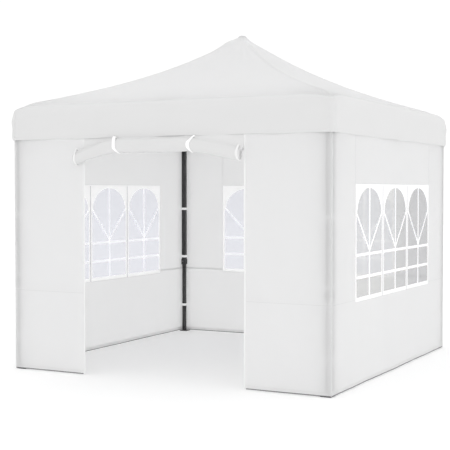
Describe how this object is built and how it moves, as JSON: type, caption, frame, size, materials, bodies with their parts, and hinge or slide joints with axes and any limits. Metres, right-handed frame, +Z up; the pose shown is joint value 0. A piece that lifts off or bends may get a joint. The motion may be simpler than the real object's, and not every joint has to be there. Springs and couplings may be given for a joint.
{
  "type": "pop up gazebo",
  "caption": "Square folding gazebo with a concave pyramid canopy, a scissor frame on telescopic legs and hanging walls with a doorway and arched windows.",
  "frame": {"origin": "on the ground, at the centre of the footprint under the peak", "axes": "+Z up, -Y towards the side with the doorway, +X to the right seen from outside that side"},
  "size_m": [3, 3.039, 3],
  "materials": {
    "canopy_cloth": "matte",
    "wall_cloth": "matte",
    "black_steel": "satin",
    "moulded_plastic": "matte",
    "button_plastic": "satin",
    "pole_metal": "satin"
  },
  "bodies": {
    "upper_hub": {"upper_hub": "moulded_plastic", "canopy": "canopy_cloth"},
    "upper_centre_bar_front": {"upper_centre_bar_front": "black_steel"},
    "lower_centre_bar_front": {"lower_centre_bar_front": "black_steel"},
    "lower_connector_front": {"lower_connector_front": "moulded_plastic"},
    "upper_connector_front": {"upper_connector_front": "moulded_plastic", "wall_front": "wall_cloth"},
    "outer_bar_front_left": {"outer_bar_front_left": "black_steel"},
    "inner_bar_front_left": {"inner_bar_front_left": "black_steel"},
    "outer_leg_front_left": {"outer_leg_front_left": "black_steel"},
    "inner_leg_front_left": {"inner_leg_front_left": "black_steel"},
    "slider_front_left": {"slider_front_left": "moulded_plastic"},
    "slider_latch_front_left": {"slider_latch_front_left": "button_plastic"},
    "leg_button_front_left": {"leg_button_front_left": "button_plastic"},
    "outer_bar_front_right": {"outer_bar_front_right": "black_steel"},
    "inner_bar_front_right": {"inner_bar_front_right": "black_steel"},
    "upper_centre_bar_right": {"upper_centre_bar_right": "black_steel"},
    "lower_centre_bar_right": {"lower_centre_bar_right": "black_steel"},
    "lower_connector_right": {"lower_connector_right": "moulded_plastic"},
    "upper_connector_right": {"upper_connector_right": "moulded_plastic", "wall_right": "wall_cloth"},
    "outer_bar_right_front": {"outer_bar_right_front": "black_steel"},
    "inner_bar_right_front": {"inner_bar_right_front": "black_steel"},
    "outer_leg_front_right": {"outer_leg_front_right": "black_steel"},
    "inner_leg_front_right": {"inner_leg_front_right": "black_steel"},
    "slider_front_right": {"slider_front_right": "moulded_plastic"},
    "slider_latch_front_right": {"slider_latch_front_right": "button_plastic"},
    "leg_button_front_right": {"leg_button_front_right": "button_plastic"},
    "outer_bar_right_back": {"outer_bar_right_back": "black_steel"},
    "inner_bar_right_back": {"inner_bar_right_back": "black_steel"},
    "upper_centre_bar_back": {"upper_centre_bar_back": "black_steel"},
    "lower_centre_bar_back": {"lower_centre_bar_back": "black_steel"},
    "lower_connector_back": {"lower_connector_back": "moulded_plastic"},
    "upper_connector_back": {"upper_connector_back": "moulded_plastic", "wall_back": "wall_cloth"},
    "outer_bar_back_right": {"outer_bar_back_right": "black_steel"},
    "inner_bar_back_right": {"inner_bar_back_right": "black_steel"},
    "outer_leg_back_right": {"outer_leg_back_right": "black_steel"},
    "inner_leg_back_right": {"inner_leg_back_right": "black_steel"},
    "slider_back_right": {"slider_back_right": "moulded_plastic"},
    "slider_latch_back_right": {"slider_latch_back_right": "button_plastic"},
    "leg_button_back_right": {"leg_button_back_right": "button_plastic"},
    "outer_bar_back_left": {"outer_bar_back_left": "black_steel"},
    "inner_bar_back_left": {"inner_bar_back_left": "black_steel"},
    "upper_centre_bar_left": {"upper_centre_bar_left": "black_steel"},
    "lower_centre_bar_left": {"lower_centre_bar_left": "black_steel"},
    "lower_connector_left": {"lower_connector_left": "moulded_plastic"},
    "upper_connector_left": {"upper_connector_left": "moulded_plastic", "wall_left": "wall_cloth"},
    "outer_bar_left_back": {"outer_bar_left_back": "black_steel"},
    "inner_bar_left_back": {"inner_bar_left_back": "black_steel"},
    "outer_leg_back_left": {"outer_leg_back_left": "black_steel"},
    "inner_leg_back_left": {"inner_leg_back_left": "black_steel"},
    "slider_back_left": {"slider_back_left": "moulded_plastic"},
    "slider_latch_back_left": {"slider_latch_back_left": "button_plastic"},
    "leg_button_back_left": {"leg_button_back_left": "button_plastic"},
    "outer_bar_left_front": {"outer_bar_left_front": "black_steel"},
    "inner_bar_left_front": {"inner_bar_left_front": "black_steel"},
    "lower_hub": {"lower_hub": "moulded_plastic"},
    "peak_pole": {"peak_pole": "pole_metal"}
  },
  "joints": [
    {"name": "frame_fold", "type": "hinge", "parent": "upper_hub", "child": "upper_centre_bar_front", "pos_m": [0, -0.044, 2.25], "axis": [1, 0, 0], "range_deg": [0, 77], "deforming": ["canopy", "wall_front", "wall_right", "wall_back", "wall_left"]},
    {"name": "centre_crossing_front", "type": "hinge", "parent": "upper_centre_bar_front", "child": "lower_centre_bar_front", "pos_m": [0, -0.725, 2.14], "axis": [1, 0, 0], "range_deg": [-154.5, 0]},
    {"name": "lower_connector_pivot_front", "type": "hinge", "parent": "upper_centre_bar_front", "child": "lower_connector_front", "pos_m": [0, -1.406, 2.03], "axis": [1, 0, 0], "range_deg": [-77.5, 0]},
    {"name": "upper_connector_pivot_front", "type": "hinge", "parent": "lower_centre_bar_front", "child": "upper_connector_front", "pos_m": [0, -1.406, 2.25], "axis": [1, 0, 0], "range_deg": [0, 77.5]},
    {"name": "outer_bar_pivot_front_left", "type": "hinge", "parent": "lower_connector_front", "child": "outer_bar_front_left", "pos_m": [-0.04, -1.45, 2.03], "axis": [0, 1, 0], "range_deg": [0, 77.5]},
    {"name": "inner_bar_pivot_front_left", "type": "hinge", "parent": "upper_connector_front", "child": "inner_bar_front_left", "pos_m": [-0.04, -1.45, 2.25], "axis": [0, 1, 0], "range_deg": [-77.5, 0]},
    {"name": "leg_pivot_front_left", "type": "hinge", "parent": "outer_bar_front_left", "child": "outer_leg_front_left", "pos_m": [-1.402, -1.45, 2.25], "axis": [0, 1, 0], "range_deg": [-77.5, 0]},
    {"name": "slider_pivot_front_left", "type": "hinge", "parent": "inner_bar_front_left", "child": "slider_front_left", "pos_m": [-1.402, -1.45, 2.03], "axis": [0, 1, 0], "range_deg": [0, 77.5]},
    {"name": "outer_bar_pivot_front_right", "type": "hinge", "parent": "lower_connector_front", "child": "outer_bar_front_right", "pos_m": [0.04, -1.45, 2.03], "axis": [0, 1, 0], "range_deg": [-77.5, 0]},
    {"name": "inner_bar_pivot_front_right", "type": "hinge", "parent": "upper_connector_front", "child": "inner_bar_front_right", "pos_m": [0.04, -1.45, 2.25], "axis": [0, 1, 0], "range_deg": [0, 77.5]},
    {"name": "upper_centre_bar_pivot_right", "type": "hinge", "parent": "upper_hub", "child": "upper_centre_bar_right", "pos_m": [0.044, 0, 2.25], "axis": [0, 1, 0], "range_deg": [0, 77.5]},
    {"name": "centre_crossing_right", "type": "hinge", "parent": "upper_centre_bar_right", "child": "lower_centre_bar_right", "pos_m": [0.725, 0, 2.14], "axis": [0, 1, 0], "range_deg": [-154.5, 0]},
    {"name": "lower_connector_pivot_right", "type": "hinge", "parent": "upper_centre_bar_right", "child": "lower_connector_right", "pos_m": [1.406, 0, 2.03], "axis": [0, 1, 0], "range_deg": [-77.5, 0]},
    {"name": "upper_connector_pivot_right", "type": "hinge", "parent": "lower_centre_bar_right", "child": "upper_connector_right", "pos_m": [1.406, 0, 2.25], "axis": [0, 1, 0], "range_deg": [0, 77.5]},
    {"name": "outer_bar_pivot_right_front", "type": "hinge", "parent": "lower_connector_right", "child": "outer_bar_right_front", "pos_m": [1.45, -0.04, 2.03], "axis": [-1, 0, 0], "range_deg": [0, 77.5]},
    {"name": "inner_bar_pivot_right_front", "type": "hinge", "parent": "upper_connector_right", "child": "inner_bar_right_front", "pos_m": [1.45, -0.04, 2.25], "axis": [-1, 0, 0], "range_deg": [-77.5, 0]},
    {"name": "leg_pivot_front_right", "type": "hinge", "parent": "outer_bar_right_front", "child": "outer_leg_front_right", "pos_m": [1.45, -1.402, 2.25], "axis": [-1, 0, 0], "range_deg": [-77.5, 0]},
    {"name": "slider_pivot_front_right", "type": "hinge", "parent": "inner_bar_right_front", "child": "slider_front_right", "pos_m": [1.45, -1.402, 2.03], "axis": [-1, 0, 0], "range_deg": [0, 77.5]},
    {"name": "outer_bar_pivot_right_back", "type": "hinge", "parent": "lower_connector_right", "child": "outer_bar_right_back", "pos_m": [1.45, 0.04, 2.03], "axis": [-1, 0, 0], "range_deg": [-77.5, 0]},
    {"name": "inner_bar_pivot_right_back", "type": "hinge", "parent": "upper_connector_right", "child": "inner_bar_right_back", "pos_m": [1.45, 0.04, 2.25], "axis": [-1, 0, 0], "range_deg": [0, 77.5]},
    {"name": "upper_centre_bar_pivot_back", "type": "hinge", "parent": "upper_hub", "child": "upper_centre_bar_back", "pos_m": [0, 0.044, 2.25], "axis": [-1, 0, 0], "range_deg": [0, 77.5]},
    {"name": "centre_crossing_back", "type": "hinge", "parent": "upper_centre_bar_back", "child": "lower_centre_bar_back", "pos_m": [0, 0.725, 2.14], "axis": [-1, 0, 0], "range_deg": [-154.5, 0]},
    {"name": "lower_connector_pivot_back", "type": "hinge", "parent": "upper_centre_bar_back", "child": "lower_connector_back", "pos_m": [0, 1.406, 2.03], "axis": [-1, 0, 0], "range_deg": [-77.5, 0]},
    {"name": "upper_connector_pivot_back", "type": "hinge", "parent": "lower_centre_bar_back", "child": "upper_connector_back", "pos_m": [0, 1.406, 2.25], "axis": [-1, 0, 0], "range_deg": [0, 77.5]},
    {"name": "outer_bar_pivot_back_right", "type": "hinge", "parent": "lower_connector_back", "child": "outer_bar_back_right", "pos_m": [0.04, 1.45, 2.03], "axis": [0, -1, 0], "range_deg": [0, 77.5]},
    {"name": "inner_bar_pivot_back_right", "type": "hinge", "parent": "upper_connector_back", "child": "inner_bar_back_right", "pos_m": [0.04, 1.45, 2.25], "axis": [0, -1, 0], "range_deg": [-77.5, 0]},
    {"name": "leg_pivot_back_right", "type": "hinge", "parent": "outer_bar_back_right", "child": "outer_leg_back_right", "pos_m": [1.402, 1.45, 2.25], "axis": [0, -1, 0], "range_deg": [-77.5, 0]},
    {"name": "slider_pivot_back_right", "type": "hinge", "parent": "inner_bar_back_right", "child": "slider_back_right", "pos_m": [1.402, 1.45, 2.03], "axis": [0, -1, 0], "range_deg": [0, 77.5]},
    {"name": "outer_bar_pivot_back_left", "type": "hinge", "parent": "lower_connector_back", "child": "outer_bar_back_left", "pos_m": [-0.04, 1.45, 2.03], "axis": [0, -1, 0], "range_deg": [-77.5, 0]},
    {"name": "inner_bar_pivot_back_left", "type": "hinge", "parent": "upper_connector_back", "child": "inner_bar_back_left", "pos_m": [-0.04, 1.45, 2.25], "axis": [0, -1, 0], "range_deg": [0, 77.5]},
    {"name": "upper_centre_bar_pivot_left", "type": "hinge", "parent": "upper_hub", "child": "upper_centre_bar_left", "pos_m": [-0.044, 0, 2.25], "axis": [0, -1, 0], "range_deg": [0, 77.5]},
    {"name": "centre_crossing_left", "type": "hinge", "parent": "upper_centre_bar_left", "child": "lower_centre_bar_left", "pos_m": [-0.725, 0, 2.14], "axis": [0, -1, 0], "range_deg": [-154.5, 0]},
    {"name": "lower_connector_pivot_left", "type": "hinge", "parent": "upper_centre_bar_left", "child": "lower_connector_left", "pos_m": [-1.406, 0, 2.03], "axis": [0, -1, 0], "range_deg": [-77.5, 0]},
    {"name": "upper_connector_pivot_left", "type": "hinge", "parent": "lower_centre_bar_left", "child": "upper_connector_left", "pos_m": [-1.406, 0, 2.25], "axis": [0, -1, 0], "range_deg": [0, 77.5]},
    {"name": "outer_bar_pivot_left_back", "type": "hinge", "parent": "lower_connector_left", "child": "outer_bar_left_back", "pos_m": [-1.45, 0.04, 2.03], "axis": [1, 0, 0], "range_deg": [0, 77.5]},
    {"name": "inner_bar_pivot_left_back", "type": "hinge", "parent": "upper_connector_left", "child": "inner_bar_left_back", "pos_m": [-1.45, 0.04, 2.25], "axis": [1, 0, 0], "range_deg": [-77.5, 0]},
    {"name": "leg_pivot_back_left", "type": "hinge", "parent": "outer_bar_left_back", "child": "outer_leg_back_left", "pos_m": [-1.45, 1.402, 2.25], "axis": [1, 0, 0], "range_deg": [-77.5, 0]},
    {"name": "slider_pivot_back_left", "type": "hinge", "parent": "inner_bar_left_back", "child": "slider_back_left", "pos_m": [-1.45, 1.402, 2.03], "axis": [1, 0, 0], "range_deg": [0, 77.5]},
    {"name": "outer_bar_pivot_left_front", "type": "hinge", "parent": "lower_connector_left", "child": "outer_bar_left_front", "pos_m": [-1.45, -0.04, 2.03], "axis": [1, 0, 0], "range_deg": [-77.5, 0]},
    {"name": "inner_bar_pivot_left_front", "type": "hinge", "parent": "upper_connector_left", "child": "inner_bar_left_front", "pos_m": [-1.45, -0.04, 2.25], "axis": [1, 0, 0], "range_deg": [0, 77.5]},
    {"name": "lower_hub_pivot", "type": "hinge", "parent": "lower_centre_bar_front", "child": "lower_hub", "pos_m": [0, -0.044, 2.03], "axis": [1, 0, 0], "range_deg": [0, 77.5]},
    {"name": "peak_pole_slide", "type": "slide", "parent": "lower_hub", "child": "peak_pole", "axis": [0, 0, 1], "range_m": [0, 0.502]},
    {"name": "leg_slide_front_left", "type": "slide", "parent": "outer_leg_front_left", "child": "inner_leg_front_left", "axis": [0, 0, 1], "range_m": [0, 0.7]},
    {"name": "slider_latch_press_front_left", "type": "slide", "parent": "slider_front_left", "child": "slider_latch_front_left", "axis": [-0.7071, -0.7071, 0], "range_m": [0, 0.004], "stiffness_N_per_m": 900},
    {"name": "leg_button_press_front_left", "type": "slide", "parent": "outer_leg_front_left", "child": "leg_button_front_left", "axis": [-1, 0, 0], "range_m": [0, 0.004], "stiffness_N_per_m": 900},
    {"name": "leg_slide_front_right", "type": "slide", "parent": "outer_leg_front_right", "child": "inner_leg_front_right", "axis": [0, 0, 1], "range_m": [0, 0.7]},
    {"name": "slider_latch_press_front_right", "type": "slide", "parent": "slider_front_right", "child": "slider_latch_front_right", "axis": [0.7071, -0.7071, 0], "range_m": [0, 0.004], "stiffness_N_per_m": 900},
    {"name": "leg_button_press_front_right", "type": "slide", "parent": "outer_leg_front_right", "child": "leg_button_front_right", "axis": [0, -1, 0], "range_m": [0, 0.004], "stiffness_N_per_m": 900},
    {"name": "leg_slide_back_right", "type": "slide", "parent": "outer_leg_back_right", "child": "inner_leg_back_right", "axis": [0, 0, 1], "range_m": [0, 0.7]},
    {"name": "slider_latch_press_back_right", "type": "slide", "parent": "slider_back_right", "child": "slider_latch_back_right", "axis": [0.7071, 0.7071, 0], "range_m": [0, 0.004], "stiffness_N_per_m": 900},
    {"name": "leg_button_press_back_right", "type": "slide", "parent": "outer_leg_back_right", "child": "leg_button_back_right", "axis": [1, 0, 0], "range_m": [0, 0.004], "stiffness_N_per_m": 900},
    {"name": "leg_slide_back_left", "type": "slide", "parent": "outer_leg_back_left", "child": "inner_leg_back_left", "axis": [0, 0, 1], "range_m": [0, 0.7]},
    {"name": "slider_latch_press_back_left", "type": "slide", "parent": "slider_back_left", "child": "slider_latch_back_left", "axis": [-0.7071, 0.7071, 0], "range_m": [0, 0.004], "stiffness_N_per_m": 900},
    {"name": "leg_button_press_back_left", "type": "slide", "parent": "outer_leg_back_left", "child": "leg_button_back_left", "axis": [0, 1, 0], "range_m": [0, 0.004], "stiffness_N_per_m": 900}
  ],
  "couplings": [
    {"joint": "centre_crossing_front", "follows": "frame_fold", "ratio": -2},
    {"joint": "lower_connector_pivot_front", "follows": "frame_fold", "ratio": -1},
    {"joint": "upper_connector_pivot_front", "follows": "frame_fold", "ratio": 1},
    {"joint": "outer_bar_pivot_front_left", "follows": "frame_fold", "ratio": 1},
    {"joint": "inner_bar_pivot_front_left", "follows": "frame_fold", "ratio": -1},
    {"joint": "leg_pivot_front_left", "follows": "frame_fold", "ratio": -1},
    {"joint": "slider_pivot_front_left", "follows": "frame_fold", "ratio": 1},
    {"joint": "outer_bar_pivot_front_right", "follows": "frame_fold", "ratio": -1},
    {"joint": "inner_bar_pivot_front_right", "follows": "frame_fold", "ratio": 1},
    {"joint": "upper_centre_bar_pivot_right", "follows": "frame_fold", "ratio": 1},
    {"joint": "centre_crossing_right", "follows": "frame_fold", "ratio": -2},
    {"joint": "lower_connector_pivot_right", "follows": "frame_fold", "ratio": -1},
    {"joint": "upper_connector_pivot_right", "follows": "frame_fold", "ratio": 1},
    {"joint": "outer_bar_pivot_right_front", "follows": "frame_fold", "ratio": 1},
    {"joint": "inner_bar_pivot_right_front", "follows": "frame_fold", "ratio": -1},
    {"joint": "leg_pivot_front_right", "follows": "frame_fold", "ratio": -1},
    {"joint": "slider_pivot_front_right", "follows": "frame_fold", "ratio": 1},
    {"joint": "outer_bar_pivot_right_back", "follows": "frame_fold", "ratio": -1},
    {"joint": "inner_bar_pivot_right_back", "follows": "frame_fold", "ratio": 1},
    {"joint": "upper_centre_bar_pivot_back", "follows": "frame_fold", "ratio": 1},
    {"joint": "centre_crossing_back", "follows": "frame_fold", "ratio": -2},
    {"joint": "lower_connector_pivot_back", "follows": "frame_fold", "ratio": -1},
    {"joint": "upper_connector_pivot_back", "follows": "frame_fold", "ratio": 1},
    {"joint": "outer_bar_pivot_back_right", "follows": "frame_fold", "ratio": 1},
    {"joint": "inner_bar_pivot_back_right", "follows": "frame_fold", "ratio": -1},
    {"joint": "leg_pivot_back_right", "follows": "frame_fold", "ratio": -1},
    {"joint": "slider_pivot_back_right", "follows": "frame_fold", "ratio": 1},
    {"joint": "outer_bar_pivot_back_left", "follows": "frame_fold", "ratio": -1},
    {"joint": "inner_bar_pivot_back_left", "follows": "frame_fold", "ratio": 1},
    {"joint": "upper_centre_bar_pivot_left", "follows": "frame_fold", "ratio": 1},
    {"joint": "centre_crossing_left", "follows": "frame_fold", "ratio": -2},
    {"joint": "lower_connector_pivot_left", "follows": "frame_fold", "ratio": -1},
    {"joint": "upper_connector_pivot_left", "follows": "frame_fold", "ratio": 1},
    {"joint": "outer_bar_pivot_left_back", "follows": "frame_fold", "ratio": 1},
    {"joint": "inner_bar_pivot_left_back", "follows": "frame_fold", "ratio": -1},
    {"joint": "leg_pivot_back_left", "follows": "frame_fold", "ratio": -1},
    {"joint": "slider_pivot_back_left", "follows": "frame_fold", "ratio": 1},
    {"joint": "outer_bar_pivot_left_front", "follows": "frame_fold", "ratio": -1},
    {"joint": "inner_bar_pivot_left_front", "follows": "frame_fold", "ratio": 1},
    {"joint": "lower_hub_pivot", "follows": "frame_fold", "ratio": 1},
    {"joint": "peak_pole_slide", "follows": "frame_fold", "m_per_rad": 0.37205}
  ]
}
